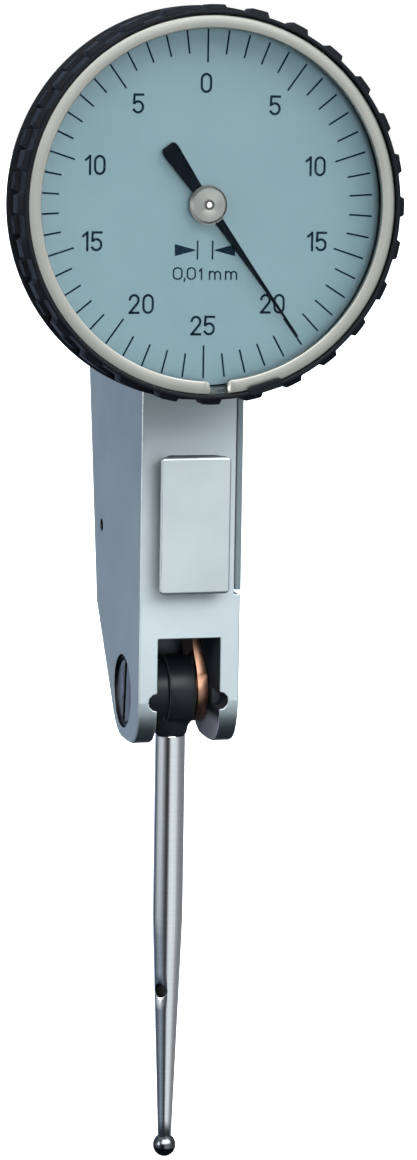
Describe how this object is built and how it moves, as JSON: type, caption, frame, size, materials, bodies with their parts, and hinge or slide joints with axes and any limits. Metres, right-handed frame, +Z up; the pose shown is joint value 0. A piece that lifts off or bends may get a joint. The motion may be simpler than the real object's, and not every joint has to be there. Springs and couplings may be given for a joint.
{
  "type": "dial test indicator",
  "caption": "Lever gauge with a round knurled dial head on a slim dovetailed housing and a swivelling ball-ended stylus.",
  "frame": {"origin": "centre of the front dovetail's flat face", "axes": "+Z up along the dovetail towards the dial, +Y to the back, +X to the right as seen facing the dial"},
  "size_m": [0.032, 0.0325, 0.0993],
  "materials": {
    "satin_chrome": "satin chrome plating",
    "bright_steel": "polished steel",
    "bright_nickel": "bright turned nickel",
    "dark_steel": "darkened steel",
    "black_plastic": "satin black with a blue cast",
    "black_paint": "satin black",
    "pale_dial": "pale blue-grey satin",
    "crystal": "clear",
    "brass": "turned brass",
    "bronze": "copper-coloured bronze",
    "aluminium": "satin aluminium"
  },
  "bodies": {
    "housing": {"housing": "satin_chrome", "side_cover": "satin_chrome", "cover_screw_1": "bright_steel", "cover_screw_2": "bright_steel", "cover_screw_3": "bright_steel", "cover_screw_4": "bright_steel", "dowel_pin": "dark_steel", "dial_case": "aluminium", "case_screw_1": "bright_steel", "case_screw_2": "bright_steel", "case_screw_3": "bright_steel", "bezel_spring": "bright_steel", "front_bush": "brass", "rear_bush": "brass", "left_gear_bush": "brass", "right_gear_bush": "brass", "gear_bridge": "brass", "bridge_screw_1": "bright_steel", "bridge_screw_2": "bright_steel", "hairspring": "bronze", "hairspring_stud": "bright_steel", "bearing_screw": "dark_steel", "bearing_bush": "dark_steel"},
    "bezel": {"bezel": "black_plastic", "snap_ring": "bright_nickel", "crystal": "crystal", "dial_plate": "pale_dial"},
    "pointer": {"pointer": "black_paint", "pointer_cap": "bright_steel", "pointer_arbor": "bright_steel"},
    "gear": {"crown_wheel": "brass", "gear_arbor": "bright_steel", "hairspring_collet": "brass"},
    "lever": {"lever_arm": "bronze", "pivot_axle": "bright_steel", "friction_washer": "bright_steel", "axle_collar": "black_paint"},
    "stylus": {"knuckle": "black_paint", "stylus_stem": "bright_steel", "ball_tip": "dark_steel"}
  },
  "joints": [
    {"name": "bezel_turn", "type": "hinge", "parent": "housing", "child": "bezel", "pos_m": [-0.001, -0.00855, 0.02693], "axis": [0, 1, 0], "continuous": true},
    {"name": "pointer_spin", "type": "hinge", "parent": "housing", "child": "pointer", "pos_m": [-0.001, -0.00625, 0.02693], "axis": [0, 1, 0], "range_deg": [-288, 288], "stiffness_Nm_per_rad": 0.000002},
    {"name": "gear_spin", "type": "hinge", "parent": "housing", "child": "gear", "pos_m": [0, 0.00865, 0.02693], "axis": [1, 0, 0], "range_deg": [-31.31, 31.31]},
    {"name": "lever_swing", "type": "hinge", "parent": "housing", "child": "lever", "pos_m": [0, 0.00765, -0.01517], "axis": [1, 0, 0], "range_deg": [-0.57, 0.57]},
    {"name": "stylus_swivel", "type": "hinge", "parent": "lever", "child": "stylus", "pos_m": [0, 0.00765, -0.01517], "axis": [1, 0, 0], "range_deg": [-118, 90]}
  ],
  "couplings": [
    {"joint": "gear_spin", "follows": "pointer_spin", "ratio": 0.1087},
    {"joint": "lever_swing", "follows": "pointer_spin", "ratio": -0.0019763}
  ]
}
